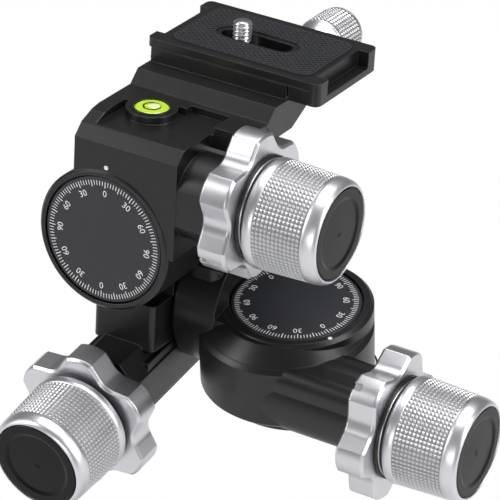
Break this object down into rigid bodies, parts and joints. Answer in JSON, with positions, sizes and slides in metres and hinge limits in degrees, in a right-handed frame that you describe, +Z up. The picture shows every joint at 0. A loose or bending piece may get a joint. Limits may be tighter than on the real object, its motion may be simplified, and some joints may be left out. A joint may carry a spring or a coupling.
{
  "type": "geared tripod head",
  "caption": "Geared tripod head with worm-driven pan, tilt and roll stages, star release collars, knurled knobs, degree dials, a bubble level and a quick-release clamp with its plate.",
  "frame": {"origin": "centre of the tripod thread's mouth at the bottom of the base, on the pan axis", "axes": "+Z up along the pan axis, +X along the pan and roll knobs, +Y the lens direction at zero pan"},
  "size_m": [0.147, 0.1606, 0.1318],
  "materials": {
    "black_body": "satin black anodised",
    "silver": "bright satin",
    "dial": "matt black with white marks",
    "cap": "satin black",
    "white_mark": "white",
    "brass": "machined",
    "steel": "machined",
    "retainer": "machined",
    "washer": "smooth",
    "rubber": "ribbed",
    "cup": "black",
    "vial": "clear yellow-green"
  },
  "bodies": {
    "base": {"tripod_base": "black_body", "pan_thrust_washer": "washer", "pan_worm_wheel": "brass", "pan_retainer": "retainer", "pan_retainer_screws": "steel", "pan_dial": "dial"},
    "pan_body": {"pan_housing": "black_body", "pan_bush": "brass", "pan_index_dot": "white_mark", "tilt_axle": "steel", "tilt_worm_wheel": "brass", "tilt_retainer": "retainer", "tilt_retainer_screws": "steel", "tilt_dial": "dial"},
    "pan_sleeve": {"pan_release_collar": "silver", "pan_worm_bushes": "brass"},
    "pan_drive": {"pan_worm": "steel", "pan_knob": "silver", "pan_knob_cap": "cap", "pan_knob_screw": "steel"},
    "tilt_body": {"tilt_housing": "black_body", "tilt_bush": "brass", "tilt_index_dot": "white_mark", "roll_axle": "steel", "roll_thrust_washer": "washer", "roll_worm_wheel": "brass", "roll_retainer": "retainer", "roll_retainer_screws": "steel", "roll_dial": "dial"},
    "tilt_sleeve": {"tilt_release_collar": "silver", "tilt_worm_bushes": "brass"},
    "tilt_drive": {"tilt_worm": "steel", "tilt_knob": "silver", "tilt_knob_cap": "cap", "tilt_knob_screw": "steel"},
    "roll_body": {"roll_housing": "black_body", "roll_bush": "brass", "roll_index_dot": "white_mark", "bubble_cup": "cup", "bubble_vial": "vial"},
    "roll_sleeve": {"roll_release_collar": "silver", "roll_worm_bushes": "brass"},
    "roll_drive": {"roll_worm": "steel", "roll_knob": "silver", "roll_knob_cap": "cap", "roll_knob_screw": "steel"},
    "clamp_jaw": {"moving_jaw": "black_body", "jaw_guide_pins": "steel"},
    "clamp_drive": {"clamp_screw": "steel", "clamp_knob": "silver"},
    "plate": {"quick_release_plate": "black_body", "rubber_pad": "rubber"},
    "screw": {"camera_screw": "steel"},
    "screw_seat": {"camera_screw_clip": "steel"}
  },
  "joints": [
    {"name": "pan", "type": "hinge", "parent": "base", "child": "pan_body", "pos_m": [0, 0, 0.0132], "axis": [0, 0, 1], "continuous": true},
    {"name": "pan_release", "type": "hinge", "parent": "pan_body", "child": "pan_sleeve", "pos_m": [0, -0.02089, 0.014], "axis": [-1, 0, 0], "range_deg": [0, 60]},
    {"name": "pan_knob_turn", "type": "hinge", "parent": "pan_sleeve", "child": "pan_drive", "pos_m": [0, -0.0195, 0.0132], "axis": [1, 0, 0], "continuous": true},
    {"name": "tilt", "type": "hinge", "parent": "pan_body", "child": "tilt_body", "pos_m": [-0.0465, 0, 0.026], "axis": [-1, 0, 0], "range_deg": [-39, 81]},
    {"name": "tilt_release", "type": "hinge", "parent": "tilt_body", "child": "tilt_sleeve", "pos_m": [-0.0473, 0, 0.00511], "axis": [0, 1, 0], "range_deg": [0, 60]},
    {"name": "tilt_knob_turn", "type": "hinge", "parent": "tilt_sleeve", "child": "tilt_drive", "pos_m": [-0.0465, 0, 0.0065], "axis": [0, -1, 0], "range_deg": [-2340, 4860]},
    {"name": "roll", "type": "hinge", "parent": "tilt_body", "child": "roll_body", "pos_m": [-0.0465, -0.02643, 0.0637], "axis": [0, -0.9877, 0.1564], "range_deg": [-14, 90]},
    {"name": "roll_release", "type": "hinge", "parent": "roll_body", "child": "roll_sleeve", "pos_m": [-0.0465, -0.02395, 0.08445], "axis": [1, 0, 0], "range_deg": [0, 60]},
    {"name": "roll_knob_turn", "type": "hinge", "parent": "roll_sleeve", "child": "roll_drive", "pos_m": [-0.0465, -0.02338, 0.08296], "axis": [1, 0, 0], "range_deg": [-5400, 840]},
    {"name": "clamp_open", "type": "slide", "parent": "roll_body", "child": "clamp_jaw", "axis": [0, 0.9877, -0.1564], "range_m": [0, 0.004]},
    {"name": "clamp_knob_turn", "type": "hinge", "parent": "clamp_jaw", "child": "clamp_drive", "pos_m": [-0.0245, 0.05466, 0.09176], "axis": [0, 0.9877, -0.1564], "range_deg": [0, 2057.6]},
    {"name": "plate_slide", "type": "slide", "parent": "roll_body", "child": "plate", "axis": [1, 0, 0], "range_m": [0, 0.03]},
    {"name": "camera_screw_slide", "type": "slide", "parent": "plate", "child": "screw_seat", "axis": [1, 0, 0], "range_m": [-0.0035, 0.015]},
    {"name": "camera_screw_turn", "type": "hinge", "parent": "screw_seat", "child": "screw", "pos_m": [-0.03585, 0.0296, 0.10676], "axis": [0, 0.1564, 0.9877], "continuous": true}
  ],
  "couplings": [
    {"joint": "pan_knob_turn", "follows": "pan", "ratio": 60},
    {"joint": "tilt_knob_turn", "follows": "tilt", "ratio": 60},
    {"joint": "roll_knob_turn", "follows": "roll", "ratio": -60},
    {"joint": "clamp_knob_turn", "follows": "clamp_open", "rad_per_m": 8976}
  ]
}
